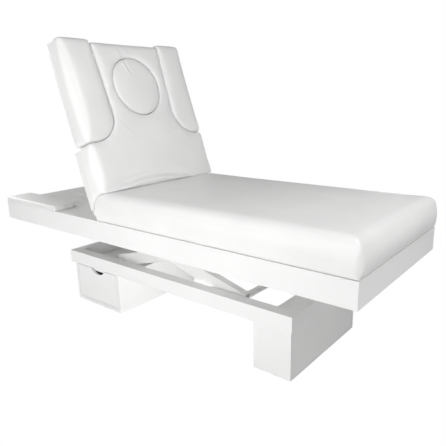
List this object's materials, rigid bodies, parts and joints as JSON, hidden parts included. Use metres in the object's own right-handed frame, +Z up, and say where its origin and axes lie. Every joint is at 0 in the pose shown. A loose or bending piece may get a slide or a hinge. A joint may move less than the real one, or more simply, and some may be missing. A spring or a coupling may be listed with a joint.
{
  "type": "spa bed",
  "caption": "Spa bed on a cabinet base with a drawer: scissor lift, hinged backrest with face plug, sliding side cushions, deck with air slots and arm pads.",
  "frame": {"origin": "on the floor under the middle of the bed's length and width", "axes": "+X along the bed towards the foot end, +Y to the left side seen from the head end, -Y the side that the drawer opens to, +Z up"},
  "size_m": [2.105, 0.778, 1.3247],
  "materials": {
    "painted_board": "satin white paint on board",
    "plain_board": "bare plywood",
    "covered_board": "plywood covered with the cushions' white leatherette",
    "leatherette": "white leatherette with a fine grain over foam",
    "painted_steel": "white powder coat",
    "zinc_steel": "zinc plated",
    "motor_housing": "moulded dark grey",
    "roller_nylon": "off-white nylon"
  },
  "bodies": {
    "base": {"rail_left": "painted_board", "rail_right": "painted_board", "cross_rail_head": "painted_board", "cross_rail_foot": "painted_board", "head_cabinet_end": "painted_board", "head_cabinet_inner": "painted_board", "head_cabinet_top": "painted_board", "head_cabinet_bottom": "painted_board", "head_cabinet_back": "painted_board", "leg_cabinet_sides": "painted_board", "leg_cabinet_end": "painted_board", "leg_cabinet_inner": "painted_board", "leg_cabinet_top": "painted_board", "lower_tracks": "painted_steel", "lower_pivot_blocks": "painted_steel", "cabinet_runners": "zinc_steel"},
    "drawer": {"drawer_front": "painted_board", "drawer_box": "painted_board", "drawer_bottom": "painted_board", "drawer_runners": "zinc_steel"},
    "inner_arms": {"inner_arm_left": "painted_steel", "inner_arm_right": "painted_steel", "inner_arm_shaft": "painted_steel"},
    "outer_arms": {"outer_arm_left": "painted_steel", "outer_arm_right": "painted_steel", "outer_arm_cross_tube": "painted_steel", "lift_lever_shaft": "painted_steel"},
    "lower_rollers": {"lower_rollers": "roller_nylon"},
    "upper_rollers": {"upper_rollers": "roller_nylon"},
    "upper_frame": {"fascia_left": "painted_board", "fascia_right": "painted_board", "fascia_head": "painted_board", "fascia_foot": "painted_board", "deck_panel": "painted_board", "chassis_rails": "painted_steel", "chassis_cross_tubes": "painted_steel", "motor_brackets": "painted_steel", "upper_tracks": "painted_steel", "upper_pivot_blocks": "painted_steel", "control_box": "motor_housing", "seat_board": "plain_board", "mattress": "leatherette", "arm_pad_left": "leatherette", "arm_pad_right": "leatherette", "hinge_seat_leaves": "zinc_steel"},
    "backrest": {"backrest_board": "covered_board", "backrest_cushion": "leatherette", "hinge_backrest_leaves": "zinc_steel", "backrest_lever": "painted_steel", "armrest_sockets": "plain_board"},
    "armrest_left": {"armrest_left_cushion": "leatherette", "armrest_left_frame": "painted_steel"},
    "armrest_right": {"armrest_right_cushion": "leatherette", "armrest_right_frame": "painted_steel"},
    "face_plug": {"face_plug_cushion": "leatherette", "face_plug_board": "plain_board"},
    "lift_motor": {"lift_motor": "motor_housing"},
    "lift_rod": {"lift_rod": "zinc_steel"},
    "backrest_motor": {"backrest_motor": "motor_housing"},
    "backrest_rod": {"backrest_rod": "zinc_steel"}
  },
  "joints": [
    {"name": "lift", "type": "hinge", "parent": "base", "child": "inner_arms", "pos_m": [-0.3405, 0, 0.238], "axis": [0, -1, 0], "range_deg": [-3.2, 18.9]},
    {"name": "scissor_cross", "type": "hinge", "parent": "inner_arms", "child": "outer_arms", "pos_m": [0.066, 0, 0.3465], "axis": [0, -1, 0], "range_deg": [-38.2, 6.8]},
    {"name": "frame_pivot", "type": "hinge", "parent": "outer_arms", "child": "upper_frame", "pos_m": [-0.3405, 0, 0.455], "axis": [0, -1, 0], "range_deg": [-3.4, 19.1]},
    {"name": "lower_roller_spin", "type": "hinge", "parent": "outer_arms", "child": "lower_rollers", "pos_m": [0.4725, 0, 0.238], "axis": [0, 1, 0], "continuous": true},
    {"name": "upper_roller_spin", "type": "hinge", "parent": "inner_arms", "child": "upper_rollers", "pos_m": [0.4725, 0, 0.455], "axis": [0, 1, 0], "continuous": true},
    {"name": "backrest_tilt", "type": "hinge", "parent": "upper_frame", "child": "backrest", "pos_m": [-0.2435, 0, 0.527], "axis": [0, 1, 0], "range_deg": [-71, 0]},
    {"name": "drawer_slide", "type": "slide", "parent": "base", "child": "drawer", "axis": [0, -1, 0], "range_m": [0, 0.35]},
    {"name": "armrest_left_slide", "type": "slide", "parent": "backrest", "child": "armrest_left", "axis": [0, 1, 0], "range_m": [0, 0.12]},
    {"name": "armrest_right_slide", "type": "slide", "parent": "backrest", "child": "armrest_right", "axis": [0, -1, 0], "range_m": [0, 0.12]},
    {"name": "face_plug_slide", "type": "slide", "parent": "backrest", "child": "face_plug", "axis": [0.9455, 0, 0.3256], "range_m": [0, 0.15]},
    {"name": "lift_motor_pivot", "type": "hinge", "parent": "upper_frame", "child": "lift_motor", "pos_m": [0.20886, 0, 0.445], "axis": [0, -1, 0], "range_deg": [-1.7, 0.4]},
    {"name": "lift_rod_slide", "type": "slide", "parent": "lift_motor", "child": "lift_rod", "axis": [-0.963, 0, -0.2696], "range_m": [-0.0095, 0.0515]},
    {"name": "backrest_motor_pivot", "type": "hinge", "parent": "upper_frame", "child": "backrest_motor", "pos_m": [0.20886, 0, 0.445], "axis": [0, -1, 0], "range_deg": [-0.1, 1.4]},
    {"name": "backrest_rod_slide", "type": "slide", "parent": "backrest_motor", "child": "backrest_rod", "axis": [-0.9979, 0, 0.065], "range_m": [-0.0765, 0.0005]}
  ],
  "couplings": [
    {"joint": "scissor_cross", "follows": "lift", "ratio": -2},
    {"joint": "frame_pivot", "follows": "lift", "ratio": 1},
    {"joint": "lift_motor_pivot", "follows": "lift", "ratio": -0.0802},
    {"joint": "lift_rod_slide", "follows": "lift", "m_per_rad": 0.15253},
    {"joint": "backrest_motor_pivot", "follows": "backrest_tilt", "ratio": -0.01733},
    {"joint": "backrest_rod_slide", "follows": "backrest_tilt", "m_per_rad": 0.06066}
  ]
}
